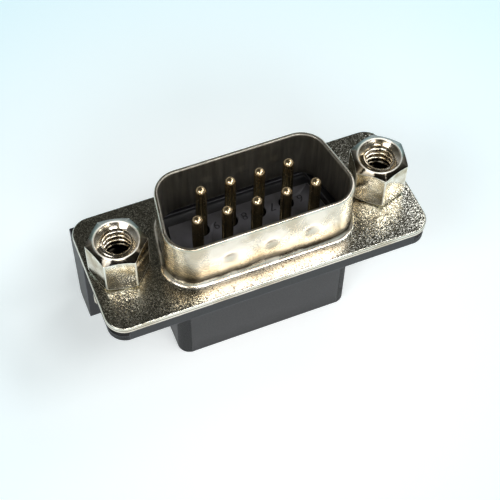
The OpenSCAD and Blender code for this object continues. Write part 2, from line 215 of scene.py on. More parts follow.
def numeral(number, x, y, height, depth):
    """A digit as a closed solid that stands from just above the face into it."""
    curve = bpy.data.curves.new("numeral", "FONT")
    curve.body = str(number)
    curve.size = height * MM
    curve.align_x = "CENTER"
    curve.align_y = "CENTER"
    curve.extrude = depth * MM
    text = put("numeral", curve)
    bpy.context.view_layer.update()
    mesh = bpy.data.meshes.new_from_object(text)
    bpy.data.objects.remove(text)
    mesh.transform(Matrix.Translation((x * MM, y * MM, insert_top))
                   @ Matrix.Rotation(pi, 4, "Z"))
    return mesh


# the insert's sunk numbers and its sides below its face get painted shade
numbered_moulding = moulded_polyester("Glass filled polyester grey numbered", "#4a4a50",
                                      "#5f5f66", insert_top)
# the pale grey on the insert's rounded edges is a painted highlight
edge_highlight_grey = moulded_polyester("Glass filled polyester grey edge highlight", "#8d8e93", "#a5a6ab")
insert = finished_copy("contact_insert", 0.05, numbered_moulding, "contact_insert_moulding",
                       edge_highlight_grey)
digits = bmesh.new()
for number, (x, y) in contact_place.items():
    digits.from_mesh(numeral(number, x + NUMBER_SHIFT[0], y + NUMBER_SHIFT[1], NUMBER_H,
                             NUMBER_DEPTH))
bmesh.ops.remove_doubles(digits, verts=digits.verts, dist=SAME_POINT * MM)
digit_mesh = bpy.data.meshes.new("contact_numbers")
digits.to_mesh(digit_mesh)
digits.free()
digit_cutter = put("digit_cutter", digit_mesh)
sink = insert.modifiers.new("numbers", "BOOLEAN")
sink.object = digit_cutter
sink.operation = "DIFFERENCE"
sink.solver = "EXACT"
insert.data = bpy.data.meshes.new_from_object(
    insert.evaluated_get(bpy.context.evaluated_depsgraph_get()))
insert.modifiers.clear()
insert.data.set_sharp_from_angle(angle=radians(35))
bpy.data.objects.remove(digit_cutter)


# ---------------------------------------------------------------------------
# Contacts: nine pins turned from brass wire, bent after they were pushed into
# the insert, with a gold flash that has dulled to olive on the shafts, and painted
# shade on the shafts where they stand in the insert.

def dulled_gold(name):
    """Gold flash over brass: bright at the ball end, olive below, and dark brown as
    painted shade where the shafts meet the insert.
    """
    made, tree, shader, mm = new_material(name, metallic=1.0)
    height = add(tree, "ShaderNodeSeparateXYZ", {0: mm}).outputs["Z"]
    drift = add(tree, "ShaderNodeTexNoise", {"Vector": mm, "Scale": 1.6, "Detail": 3.0})
    level = add(tree, "ShaderNodeMath", {0: drift.outputs["Fac"], 1: 1.2, 2: height},
                operation="MULTIPLY_ADD")
    share = add(tree, "ShaderNodeMapRange", {"Value": level.outputs[0], "From Min": -5.0,
                                             "From Max": 6.4})
    # the dark stop, near the insert's face, is painted shade on the shafts
    tone = add(tree, "ShaderNodeValToRGB", {"Fac": share.outputs["Result"]},
               stops=[(0.25, "#a89d82"), (0.45, "#3a362d"), (0.62, "#766f5e"), (0.84, "#a39a84"),
                      (0.965, "#dfc7a0")])
    turning = add(tree, "ShaderNodeTexNoise", {"Vector": mm, "Scale": 6.0, "Detail": 4.0})
    gloss = add(tree, "ShaderNodeMapRange",
                {"Value": turning.outputs["Fac"], "To Min": 0.14, "To Max": 0.34})
    relief = add(tree, "ShaderNodeBump", {"Height": turning.outputs["Fac"], "Strength": 0.15,
                                          "Distance": 0.02 * MM})
    tree.links.new(tone.outputs["Color"], shader.inputs["Base Color"])
    tree.links.new(gloss.outputs["Result"], shader.inputs["Roughness"])
    tree.links.new(relief.outputs["Normal"], shader.inputs["Normal"])
    return made


gold_flash = dulled_gold("Gold flashed brass")
for number in contact_place:
    pin, mesh = merged_copy(f"contact_{number}", f"pin_{number}")
    mesh.to_mesh(pin.data)
    mesh.free()
    hand_over(pin, f"contact_{number}", gold_flash)
    pin.data.set_sharp_from_angle(angle=radians(35))


# ---------------------------------------------------------------------------
# Front shell: steel sheet drawn into a D wall with a flange, dimpled by a
# punch and plated in a barrel, which leaves the flange speckled and the wall
# satin. Its edge shows the shine of the shear, with a thin painted dark line
# across it that stands in for a dark reflection.

SHELL_LOW, SHELL_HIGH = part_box("front_shell")
FLANGE_HALF = [(SHELL_HIGH[i] - SHELL_LOW[i]) / 2 / MM for i in (0, 1)]
FLANGE_T = -SHELL_LOW[2] / MM
SHELL_H = SHELL_HIGH[2] / MM
WALL_T = 0.38
SLANT = radians(10)  # of the D's short sides
HALF_DEPTH, WIDEST, CORNER_R = 4.40, 8.84, 2.55
LONG_SIDE = HALF_DEPTH - 1.2  # points further out than this lie on a long side
FOOT_R, FLANGE_R, EDGE_R, BREAK = 0.5, 1.8, 0.18, 0.06
BEND_R = FOOT_R + (WALL_T + FLANGE_T) / 2
LIP = FOOT_R + 0.25  # where the flat of the flange begins
STEP = 0.16
BEND_STEPS, RIM_STEPS, WALL_STEPS, EDGE_STEPS, HOLE_TURNS = 10, 8, 30, 6, 40
DIMPLES = [(x, -1) for x in (-3.7, 0.2, 4.0)] + [(x, 1) for x in (-2.7, 0.7, 4.1)]
DIMPLE_Z, DIMPLE_R, DIMPLE_DEPTH = 2.9, 0.50, 0.15
# painted shade up and left of each dimple: its offset, length, height and strength
DIMPLE_SHADE_SHIFT, DIMPLE_SHADE_LENGTH, DIMPLE_SHADE_HEIGHT, DIMPLE_SHADE_STRENGTH = 0.15, 0.50, 0.24, 0.9
WAVE, WAVE_LOW, WAVE_HIGH = 0.012, 1.2, 5.2  # the hand-made unevenness of the wall
FADE = 0.4  # the wall's marks fade towards the flange over this distance
SCREW_X, SCREW_HOLE_R = 12.495, 1.6


def d_path():
    """Points and outward directions round the outside of the D, seen from above."""
    yc = HALF_DEPTH - CORNER_R
    wide = WIDEST - CORNER_R
    narrow = wide - 2 * yc * tan(SLANT)
    corners = [(wide, -yc, -pi / 2, SLANT), (narrow, yc, SLANT, pi / 2),
               (-narrow, yc, pi / 2, pi - SLANT), (-wide, -yc, pi - SLANT, 1.5 * pi)]
    path = []
    for k, (x, y, start, end) in enumerate(corners):
        turns = ceil(CORNER_R * (end - start) / STEP)
        for i in range(turns):
            a = start + (end - start) * i / turns
            path.append((x + CORNER_R * cos(a), y + CORNER_R * sin(a), cos(a), sin(a)))
        next_x, next_y = corners[(k + 1) % 4][:2]
        nx, ny = cos(end), sin(end)
        steps = ceil(sqrt((next_x - x) ** 2 + (next_y - y) ** 2) / STEP)
        for i in range(steps):
            t = i / steps
            path.append((x + (next_x - x) * t + CORNER_R * nx,
                         y + (next_y - y) * t + CORNER_R * ny, nx, ny))
    return path


def sheet_section():
    """The drawn sheet's section as distance outside the D and height, from the
    top of the flange over the rim to the flange's back."""
    rim = WALL_T / 2
    rows = [(LIP, 0.0)]
    rows += [(FOOT_R * (1 - sin(a)), FOOT_R * (1 - cos(a)))
             for a in (radians(90 * i / BEND_STEPS) for i in range(BEND_STEPS + 1))]
    top = SHELL_H - rim
    rows += [(0.0, FOOT_R + (top - FOOT_R) * i / WALL_STEPS) for i in range(1, WALL_STEPS)]
    rows += [(rim * (cos(a) - 1), top + rim * sin(a))
             for a in (radians(180 * i / RIM_STEPS) for i in range(RIM_STEPS + 1))]
    low = BEND_R - FLANGE_T
    rows += [(-WALL_T, top - (top - low) * i / WALL_STEPS) for i in range(1, WALL_STEPS)]
    rows += [(-WALL_T + BEND_R * (1 - cos(a)), low - BEND_R * sin(a))
             for a in (radians(90 * i / BEND_STEPS) for i in range(BEND_STEPS + 1))]
    rows.append((LIP, -FLANGE_T))
    return rows


def pressed(x, y, z):
    """How far the punch and the handling push a wall point inwards."""
    if abs(y) < LONG_SIDE:
        return 0.0
    push = sum(DIMPLE_DEPTH * exp(-((x - dx) ** 2 + (z - DIMPLE_Z) ** 2) / DIMPLE_R ** 2)
               for dx, side in DIMPLES if side * y > 0)
    if WAVE_LOW < z < WAVE_HIGH:
        push += WAVE * sin(1.9 * x + 0.6) * sin(1.3 * z + 0.4 * x)
    return push


def rounded_corner_path(half_x, half_y, radius, turns=10):
    """Points round a rectangle with round corners."""
    path = []
    for sx, sy, start in ((1, 1, 0), (-1, 1, 90), (-1, -1, 180), (1, -1, 270)):
        for i in range(turns + 1):
            a = radians(start + 90 * i / turns)
            path.append((sx * (half_x - radius) + radius * cos(a),
                         sy * (half_y - radius) + radius * sin(a)))
    return path


def bands(first, rows, turns):
    """Quads between closed rows of points that follow each other from first."""
    return [(first + r * turns + i, first + r * turns + (i + 1) % turns,
             first + (r + 1) * turns + (i + 1) % turns, first + (r + 1) * turns + i)
            for r in range(rows - 1) for i in range(turns)]


path = d_path()
section = sheet_section()
count = len(path)
verts = []
for offset, z in section:
    wall_share = max(0.0, min(1.0, (FADE - offset) / FADE))
    for x, y, nx, ny in path:
        out = offset - pressed(x, y, z) * wall_share
        verts.append(((x + out * nx) * MM, (y + out * ny) * MM, z * MM))
faces = bands(0, len(section), count)

# the flange's outer edge, its two screw holes, and the flats between them and the D
edge_rows = [(-EDGE_R * (1 - sin(a)), -EDGE_R * (1 - cos(a)))
             for a in (radians(90 * i / EDGE_STEPS) for i in range(EDGE_STEPS + 1))]
edge_rows += [(0.0, -FLANGE_T + BREAK), (-BREAK / 3, -FLANGE_T + BREAK / 3),
              (-BREAK, -FLANGE_T)]
edge_first = len(verts)
for inset, z in edge_rows:
    corners = rounded_corner_path(FLANGE_HALF[0] + inset, FLANGE_HALF[1] + inset,
                                  FLANGE_R + inset)
    verts += [(x * MM, y * MM, z * MM) for x, y in corners]
edge_count = len(corners)
faces += bands(edge_first, len(edge_rows), edge_count)
hole_first = len(verts)
for side in (-1, 1):
    for z in (0.0, -FLANGE_T):
        for i in range(HOLE_TURNS):
            a = 2 * pi * i / HOLE_TURNS
            verts.append(((side * SCREW_X + SCREW_HOLE_R * cos(a)) * MM,
                          SCREW_HOLE_R * sin(a) * MM, z * MM))
for hole in (0, 1):
    faces += bands(hole_first + 2 * hole * HOLE_TURNS, 2, HOLE_TURNS)
for ring, edge_row, level in ((0, 0, 0), (len(section) - 1, len(edge_rows) - 1, 1)):
    loops = [[edge_first + edge_row * edge_count + i for i in range(edge_count)],
             [ring * count + i for i in range(count)]]
    loops += [[hole_first + (2 * hole + level) * HOLE_TURNS + i for i in range(HOLE_TURNS)]
              for hole in (0, 1)]
    index = [v for loop in loops for v in loop]
    flat = [Vector(verts[v][:2]) / MM for v in index]
    edges, first = [], 0
    for loop in loops:
        edges += [(first + i, first + (i + 1) % len(loop)) for i in range(len(loop))]
        first += len(loop)
    filled = delaunay_2d_cdt(flat, edges, [], 0, 1e-7)
    for corners in filled[2]:
        middle = sum((filled[0][c] for c in corners), Vector((0, 0))) / 3
        inside_d = all((middle.x - x) * nx + (middle.y - y) * ny < LIP for x, y, nx, ny in path)
        in_hole = (abs(middle.x) - SCREW_X) ** 2 + middle.y ** 2 < SCREW_HOLE_R ** 2
        if not inside_d and not in_hole:
            faces.append([index[filled[3][c][0]] for c in corners])

sheet = bpy.data.meshes.new("front_shell_sheet")
sheet.from_pydata(verts, [], faces)
sheet.validate()
mesh = bmesh.new()
mesh.from_mesh(sheet)
bmesh.ops.remove_doubles(mesh, verts=mesh.verts, dist=SAME_POINT * MM)
bmesh.ops.recalc_face_normals(mesh, faces=mesh.faces)
mesh.to_mesh(sheet)
mesh.free()
shell = put("front_shell_sheet", sheet)
# painted shade beside each dimple, kept as a point attribute for the material
dent = sheet.attributes.new("dent", "FLOAT", "POINT")
for i, vertex in enumerate(sheet.vertices):
    x, y, z = vertex.co / MM
    spots = [exp(-((x - dx + DIMPLE_SHADE_SHIFT) / DIMPLE_SHADE_LENGTH) ** 2
                 - ((z - DIMPLE_Z - DIMPLE_SHADE_SHIFT) / DIMPLE_SHADE_HEIGHT) ** 2)
             for dx, side in DIMPLES if side * y > LONG_SIDE]
    dent.data[i].value = DIMPLE_SHADE_STRENGTH * max(spots, default=0.0)


STRIP_X, STRIP_Y = (7.6, 6.0), (-4.0, -4.6)  # the flange's strip in front of the D, painted bright as a highlight
DARK_LINE_Z, DARK_LINE_HALF = -0.33, 0.05  # a thin painted dark line along the edge, standing in for a dark reflection


def barrel_plated_steel(name):
    """Tin-nickel plate over drawn steel: satin where the sheet was drawn out into the
    wall, dull and streaked inside the D, and pitted like orange peel, with dark and
    pale grains, where the sheet stayed flat. Painted light lies over it: a wavy dark
    band low round the wall's foot as a painted reflection, painted shade beside each
    dimple, the flange's strip in front of the D painted bright as a highlight, and a
    thin painted dark line along the edge. The grains are drawn coarser than they
    are, so that they show."""
    made, tree, shader, mm = new_material(name, metallic=1.0)
    place = add(tree, "ShaderNodeSeparateXYZ", {0: mm})
    height = place.outputs["Z"]
    level = add(tree, "ShaderNodeMath", {0: height}, operation="ABSOLUTE")
    flat_share = add(tree, "ShaderNodeMapRange", {"Value": level.outputs[0], "From Min": 0.10,
                                                  "From Max": 0.01})
    normal = add(tree, "ShaderNodeNewGeometry").outputs["Normal"]
    level_place = add(tree, "ShaderNodeVectorMath", {0: mm, 1: [1, 1, 0]}, operation="MULTIPLY")
    away = add(tree, "ShaderNodeVectorMath", {0: level_place.outputs[0], 1: normal},
               operation="DOT_PRODUCT")
    inside = add(tree, "ShaderNodeMapRange", {"Value": away.outputs["Value"], "From Min": 0.3,
                                              "From Max": -1.5})
    patches = add(tree, "ShaderNodeTexNoise", {"Vector": mm, "Scale": 0.40, "Detail": 3.0})
    fine = add(tree, "ShaderNodeTexNoise", {"Vector": mm, "Scale": 6.5, "Detail": 2.0})
    grain = add(tree, "ShaderNodeTexVoronoi", {"Vector": mm, "Scale": 11.0})
    lot = add(tree, "ShaderNodeSeparateXYZ", {0: grain.outputs["Color"]})
    along = add(tree, "ShaderNodeMath", {0: place.outputs["X"]}, operation="ABSOLUTE")
    beside = add(tree, "ShaderNodeMapRange", {"Value": along.outputs[0],
                                              "From Min": STRIP_X[0], "From Max": STRIP_X[1]})
    before = add(tree, "ShaderNodeMapRange", {"Value": place.outputs["Y"],
                                              "From Min": STRIP_Y[0], "From Max": STRIP_Y[1]})
    # painted highlight: the flange's strip in front of the D gets pale specks and leans less
    bright_strip = add(tree, "ShaderNodeMath", {0: beside.outputs["Result"],
                                             1: before.outputs["Result"]}, operation="MULTIPLY")
    pits = add(tree, "ShaderNodeValToRGB", {"Fac": lot.outputs["X"]},
               stops=[(0.2, "#85847a"), (0.6, "#c0bfb1"), (0.92, "#fbfbf2")])
    bright_specks = add(tree, "ShaderNodeValToRGB", {"Fac": lot.outputs["X"]},
                 stops=[(0.05, "#8c7b63"), (0.2, "#f3f1ea"), (0.9, "#fdfcf8")])
    speckle = add(tree, "ShaderNodeMix", {0: bright_strip.outputs[0], 6: pits.outputs["Color"],
                                          7: bright_specks.outputs["Color"]}, data_type="RGBA")
    satin = add(tree, "ShaderNodeValToRGB", {"Fac": patches.outputs["Fac"]},
                stops=[(0.35, "#ccc0aa"), (0.62, "#f0e8da")])
    bend = add(tree, "ShaderNodeTexNoise", {"Vector": level_place.outputs[0], "Scale": 0.30,
                                            "Detail": 2.0})
    wander = add(tree, "ShaderNodeMath", {0: bend.outputs["Fac"], 1: 1.6, 2: height},
                 operation="MULTIPLY_ADD")
    # painted reflection: a wavy dark band low on the outside of the wall
    painted_dark_band = add(tree, "ShaderNodeValToRGB", {"Fac": add(tree, "ShaderNodeMapRange", {
        "Value": wander.outputs[0], "From Min": 1.0, "From Max": 3.8}).outputs["Result"]},
        stops=[(0.03, "#ffffff"), (0.12, "#443e32"), (0.30, "#5d5647"), (0.52, "#ded3c0"),
               (1.0, "#ffffff")])
    outer = add(tree, "ShaderNodeMix", {0: 1.0, 6: satin.outputs["Color"],
                                        7: painted_dark_band.outputs["Color"]},
                data_type="RGBA", blend_type="MULTIPLY")
    upright = add(tree, "ShaderNodeVectorMath", {0: mm, 1: [2.4, 2.4, 0.25]},
                  operation="MULTIPLY")
    streak = add(tree, "ShaderNodeTexNoise", {"Vector": upright.outputs[0], "Scale": 1.0,
                                              "Detail": 3.0})
    inner = add(tree, "ShaderNodeValToRGB", {"Fac": streak.outputs["Fac"]},
                stops=[(0.30, "#918d83"), (0.52, "#a5a196"), (0.72, "#bab5a9")])
    # painted shade: dark brown up and left of each dimple
    dent = add(tree, "ShaderNodeAttribute", attribute_name="dent").outputs["Fac"]
    dimple_shaded = add(tree, "ShaderNodeMix", {0: dent, 6: outer.outputs[2],
                                          7: linear("#4d4433")}, data_type="RGBA")
    drawn = add(tree, "ShaderNodeMix", {0: inside.outputs["Result"], 6: dimple_shaded.outputs[2],
                                        7: inner.outputs["Color"]}, data_type="RGBA")
    sheet_tone = add(tree, "ShaderNodeMix", {0: flat_share.outputs["Result"],
                                             6: drawn.outputs[2], 7: speckle.outputs[2]},
                     data_type="RGBA")
    # painted reflection: a thin dark line along the flange's edge
    dark_edge_line = add(tree, "ShaderNodeMath", {0: height, 1: DARK_LINE_Z, 2: DARK_LINE_HALF},
                 operation="COMPARE")
    tone = add(tree, "ShaderNodeMix", {0: dark_edge_line.outputs[0], 6: sheet_tone.outputs[2],
                                       7: linear("#6d6151")}, data_type="RGBA")
    gloss_wall = add(tree, "ShaderNodeMapRange",
                     {"Value": patches.outputs["Fac"], "To Min": 0.20, "To Max": 0.34})
    gloss_drawn = add(tree, "ShaderNodeMix", {0: inside.outputs["Result"],
                                              2: gloss_wall.outputs["Result"], 3: 0.42},
                      data_type="FLOAT")
    gloss = add(tree, "ShaderNodeMix", {0: flat_share.outputs["Result"],
                                        2: gloss_drawn.outputs[0], 3: 0.26}, data_type="FLOAT")
    lean = add(tree, "ShaderNodeVectorMath", {0: grain.outputs["Color"], 1: [0.5] * 3},
               operation="SUBTRACT")
    pitted = add(tree, "ShaderNodeMath", {0: bright_strip.outputs[0], 1: -0.11, 2: 0.14},
                 operation="MULTIPLY_ADD")
    lean_share = add(tree, "ShaderNodeMath", {0: flat_share.outputs["Result"],
                                              1: pitted.outputs[0]}, operation="MULTIPLY")
    leaned = add(tree, "ShaderNodeVectorMath", {0: lean.outputs[0],
                                                "Scale": lean_share.outputs[0]},
                 operation="SCALE")
    face = add(tree, "ShaderNodeVectorMath", {0: normal, 1: leaned.outputs[0]},
               operation="ADD")
    facing = add(tree, "ShaderNodeVectorMath", {0: face.outputs[0]}, operation="NORMALIZE")
    depth = add(tree, "ShaderNodeMapRange", {"Value": flat_share.outputs["Result"],
                                             "To Min": 0.03, "To Max": 0.12})
    relief = add(tree, "ShaderNodeBump", {"Height": fine.outputs["Fac"],
                                          "Strength": depth.outputs["Result"],
                                          "Distance": 0.05 * MM,
                                          "Normal": facing.outputs[0]})
    tree.links.new(tone.outputs[2], shader.inputs["Base Color"])
    tree.links.new(gloss.outputs[0], shader.inputs["Roughness"])
    tree.links.new(relief.outputs["Normal"], shader.inputs["Normal"])
    return made


plated_steel = barrel_plated_steel("Barrel plated steel")
hand_over(shell, "front_shell", plated_steel)
sheet.set_sharp_from_angle(angle=radians(40))


# ---------------------------------------------------------------------------
# Screw locks and their nuts: standoffs turned from hexagon bar, nickel plated,
# with a 4-40 thread in the head and another on the stud, which holds the nut
# behind the flange. Spanners have worn the edges round, and pale lines along
# them are painted highlights.

THREAD_PITCH = 0.635
HEX_TURN = {"left": 48, "right": 18}
HEX_AF, HEX_H, HEX_LAND, CHAMFER = 4.76, 4.35, 2.04, tan(radians(30))
LAND_H = 0.05  # the flat end stands this far over the chamfer
CORNER_HIGHLIGHT, FLATS_FROM = (2.695, 2.715), 2.3  # radii of the painted highlight on the corners; where the flats begin
MOUTH_R, ENTRY_R, ROOT_R, CREST_R = 1.95, 1.45, 1.43, 1.20
ENTRY_DEPTH, BORE_FLOOR, THREAD_FOOT = 0.36, 0.35, 1.05
STUD_R, STUD_TIP_R, STUD_TIP_H = 1.30, 1.12, 0.25
HEAD_RIDGE, STUD_RIDGE = 0.25, 0.14


def thread_tree():
    """A thread's ridge that winds along Z, as Geometry Nodes."""
    tree = bpy.data.node_groups.new("thread_ridge", "GeometryNodeTree")
    sockets = tree.interface
    for name in ("Turns", "Pitch", "Root Radius", "Ridge Height", "Start Height"):
        sockets.new_socket(name, in_out="INPUT", socket_type="NodeSocketFloat")
    sockets.new_socket("Finish", in_out="INPUT", socket_type="NodeSocketMaterial")
    sockets.new_socket("Geometry", in_out="OUTPUT", socket_type="NodeSocketGeometry")
    given = add(tree, "NodeGroupInput").outputs
    rise = add(tree, "ShaderNodeMath", {0: given["Turns"], 1: given["Pitch"]},
               operation="MULTIPLY").outputs[0]
    helix = add(tree, "GeometryNodeCurveSpiral",
                {"Resolution": 48, "Rotations": given["Turns"], "Height": rise,
                 "Start Radius": given["Root Radius"], "End Radius": given["Root Radius"]})
    flank = add(tree, "GeometryNodeCurvePrimitiveCircle",
                {"Resolution": 12, "Radius": given["Ridge Height"]})
    ridge = add(tree, "GeometryNodeCurveToMesh", {"Curve": helix.outputs["Curve"],
                                                  "Profile Curve": flank.outputs["Curve"],
                                                  "Fill Caps": True})
    lift = add(tree, "ShaderNodeCombineXYZ", {"Z": given["Start Height"]})
    raised = add(tree, "GeometryNodeTransform", {"Geometry": ridge.outputs["Mesh"],
                                                 "Translation": lift.outputs[0]})
    real = add(tree, "GeometryNodeRealizeInstances", {"Geometry": raised.outputs["Geometry"]})
    finish = add(tree, "GeometryNodeSetMaterial", {"Geometry": real.outputs["Geometry"],
                                                   "Material": given["Finish"]})
    add(tree, "NodeGroupOutput", {"Geometry": finish.outputs["Geometry"]})
    return tree


def wound(name, tree, turns, root, height, start, finish):
    """A thread's ridge as a plain mesh. Sizes are in millimetres."""
    piece = put(name, bpy.data.meshes.new(name))
    modifier = piece.modifiers.new("thread", "NODES")
    modifier.node_group = tree
    names = {item.name: item.identifier for item in tree.interface.items_tree
             if item.item_type == "SOCKET" and item.in_out == "INPUT"}
    for socket, value in {"Turns": turns, "Pitch": THREAD_PITCH * MM, "Root Radius": root * MM,
                          "Ridge Height": height * MM, "Start Height": start * MM,
                          "Finish": finish}.items():
        modifier[names[socket]] = value
    bpy.context.view_layer.update()
    result = bpy.data.meshes.new_from_object(
        piece.evaluated_get(bpy.context.evaluated_depsgraph_get()))
    piece.modifiers.clear()
    piece.data = result
    result.shade_smooth()
    return piece


def turned_hexagon(across_flats, rings, turns=96):
    """A revolved body whose rings may follow the hexagon. A ring is its radius or
    None for the hexagon, and its height or a rule for it."""
    rows = []
    for radius, height in rings:
        row = []
        for i in range(turns):
            a = 2 * pi * i / turns
            hexagon = across_flats / 2 / cos((a % (pi / 3)) - pi / 6)
            r = hexagon if radius is None else radius
            z = height(hexagon) if callable(height) else height
            row.append((r * cos(a) * MM, r * sin(a) * MM, z * MM))
        rows.append(row)
    points = [point for row in rows for point in row]
    ends = [tuple(range(turns - 1, -1, -1)),
            tuple((len(rows) - 1) * turns + i for i in range(turns))]
    return points, bands(0, len(rows), turns) + ends


def nickelled_bar(name):
    """Nickel over turned steel bar, scuffed by spanners: warm grey, with fine
    scratches along the flats, pale lines painted on as highlights along the corners,
    the ends and the mouth, a painted dark reflection on the turned chamfer and
    painted shade down the bore."""
    made, tree, shader, mm = new_material(name, metallic=1.0)
    blotch = add(tree, "ShaderNodeTexNoise", {"Vector": mm, "Scale": 0.9, "Detail": 4.0})
    stretch = add(tree, "ShaderNodeVectorMath", {0: mm, 1: [3.0, 3.0, 11.0]},
                  operation="MULTIPLY")
    scratch = add(tree, "ShaderNodeTexNoise", {"Vector": stretch.outputs[0], "Scale": 1.0,
                                               "Detail": 4.0})
    plate = add(tree, "ShaderNodeValToRGB", {"Fac": blotch.outputs["Fac"]},
                stops=[(0.34, "#b3a488"), (0.5, "#d6ccb8"), (0.64, "#f1eadd")])
    mirrored = add(tree, "ShaderNodeVectorMath", {0: mm}, operation="ABSOLUTE")
    from_axis = add(tree, "ShaderNodeVectorMath", {0: mirrored.outputs[0], 1: [SCREW_X, 0, 0]},
                    operation="SUBTRACT")
    across = add(tree, "ShaderNodeVectorMath", {0: from_axis.outputs[0], 1: [1, 1, 0]},
                 operation="MULTIPLY")
    radius = add(tree, "ShaderNodeVectorMath", {0: across.outputs[0]}, operation="LENGTH")
    # painted shade: the bore turns dark below its mouth
    in_bore = add(tree, "ShaderNodeMath", {0: radius.outputs["Value"], 1: ROOT_R + 0.04},
                  operation="LESS_THAN")
    height = add(tree, "ShaderNodeSeparateXYZ", {0: mm}).outputs["Z"]
    depth = add(tree, "ShaderNodeMapRange", {"Value": height, "From Min": 2.4,
                                             "From Max": 1.5})
    shade = add(tree, "ShaderNodeMath", {0: in_bore.outputs[0], 1: depth.outputs["Result"]},
                operation="MULTIPLY")
    drop = add(tree, "ShaderNodeMath", {0: radius.outputs["Value"], 1: HEX_LAND},
               operation="SUBTRACT")
    drop = add(tree, "ShaderNodeMath", {0: drop.outputs[0], 1: CHAMFER}, operation="MULTIPLY")
    half = (HEX_H - LAND_H) / 2
    middle = add(tree, "ShaderNodeMath", {0: height, 1: half}, operation="SUBTRACT")
    middle = add(tree, "ShaderNodeMath", {0: middle.outputs[0]}, operation="ABSOLUTE")
    ends = add(tree, "ShaderNodeMath", {0: drop.outputs[0], 1: middle.outputs[0]},
               operation="ADD")
    off_end = add(tree, "ShaderNodeMath", {0: ends.outputs[0], 1: half},
                  operation="SUBTRACT")
    off_end = add(tree, "ShaderNodeMath", {0: off_end.outputs[0]}, operation="ABSOLUTE")
    # painted highlight: pale lines along the ends, the corners and the mouth
    end_line = add(tree, "ShaderNodeMapRange", {"Value": off_end.outputs[0], "From Min": 0.07,
                                                "From Max": 0.03})
    tilt = add(tree, "ShaderNodeSeparateXYZ", {0: add(
        tree, "ShaderNodeNewGeometry").outputs["Normal"]}).outputs["Z"]
    steep = add(tree, "ShaderNodeMath", {0: tilt, 1: 0.0, 2: 0.5}, operation="COMPARE")
    end_line = add(tree, "ShaderNodeMath", {0: end_line.outputs["Result"],
                                            1: steep.outputs[0]}, operation="MULTIPLY")
    corner_line = add(tree, "ShaderNodeMapRange", {"Value": radius.outputs["Value"],
                                                   "From Min": CORNER_HIGHLIGHT[0],
                                                   "From Max": CORNER_HIGHLIGHT[1]})
    lines = add(tree, "ShaderNodeMath", {0: end_line.outputs[0],
                                         1: corner_line.outputs["Result"]}, operation="MAXIMUM")
    on_hexagon = add(tree, "ShaderNodeMath", {0: radius.outputs["Value"], 1: FLATS_FROM},
                     operation="GREATER_THAN")
    lines = add(tree, "ShaderNodeMath", {0: lines.outputs[0], 1: on_hexagon.outputs[0]},
                operation="MULTIPLY")
    off_mouth = add(tree, "ShaderNodeMath", {0: radius.outputs["Value"], 1: MOUTH_R + 0.03},
                    operation="SUBTRACT")
    off_mouth = add(tree, "ShaderNodeMath", {0: off_mouth.outputs[0]}, operation="ABSOLUTE")
    mouth_line = add(tree, "ShaderNodeMapRange", {"Value": off_mouth.outputs[0],
                                                  "From Min": 0.09, "From Max": 0.05})
    # worn is the mask of the painted highlight lines
    worn = add(tree, "ShaderNodeMath", {0: lines.outputs[0], 1: mouth_line.outputs["Result"]},
               operation="MAXIMUM")
    # painted reflection: the turned chamfer is coloured dark
    sloped = add(tree, "ShaderNodeMapRange", {"Value": tilt, "From Min": 0.6, "From Max": 0.8})
    outside = add(tree, "ShaderNodeMapRange", {"Value": radius.outputs["Value"],
                                               "From Min": HEX_LAND + 0.02,
                                               "From Max": HEX_LAND + 0.08})
    turned = add(tree, "ShaderNodeMath", {0: sloped.outputs[0], 1: outside.outputs[0]},
                 operation="MULTIPLY")
    painted_dark_chamfer = add(tree, "ShaderNodeMix", {0: turned.outputs[0], 6: plate.outputs["Color"],
                                         7: linear("#2b2721")}, data_type="RGBA")
    highlighted = add(tree, "ShaderNodeMix", {0: worn.outputs[0], 6: painted_dark_chamfer.outputs[2],
                                         7: linear("#fbf6ec")}, data_type="RGBA")
    tone = add(tree, "ShaderNodeMix", {0: shade.outputs[0], 6: highlighted.outputs[2],
                                       7: linear("#15130f")}, data_type="RGBA")
    spread = add(tree, "ShaderNodeMapRange",
                 {"Value": scratch.outputs["Fac"], "To Min": 0.10, "To Max": 0.24})
    spread = add(tree, "ShaderNodeMix", {0: turned.outputs[0], 2: spread.outputs["Result"],
                                         3: 0.08}, data_type="FLOAT")
    gloss = add(tree, "ShaderNodeMapRange", {"Value": worn.outputs[0],
                                             "To Min": spread.outputs[0], "To Max": 0.5})
    scuffed = add(tree, "ShaderNodeMapRange", {"Value": radius.outputs["Value"],
                                               "From Min": 2.0, "From Max": FLATS_FROM,
                                               "To Max": 0.12})
    relief = add(tree, "ShaderNodeBump", {"Height": scratch.outputs["Fac"],
                                          "Strength": scuffed.outputs["Result"],
                                          "Distance": 0.03 * MM})
    tree.links.new(tone.outputs[2], shader.inputs["Base Color"])
    tree.links.new(gloss.outputs["Result"], shader.inputs["Roughness"])
    tree.links.new(relief.outputs["Normal"], shader.inputs["Normal"])
    return made


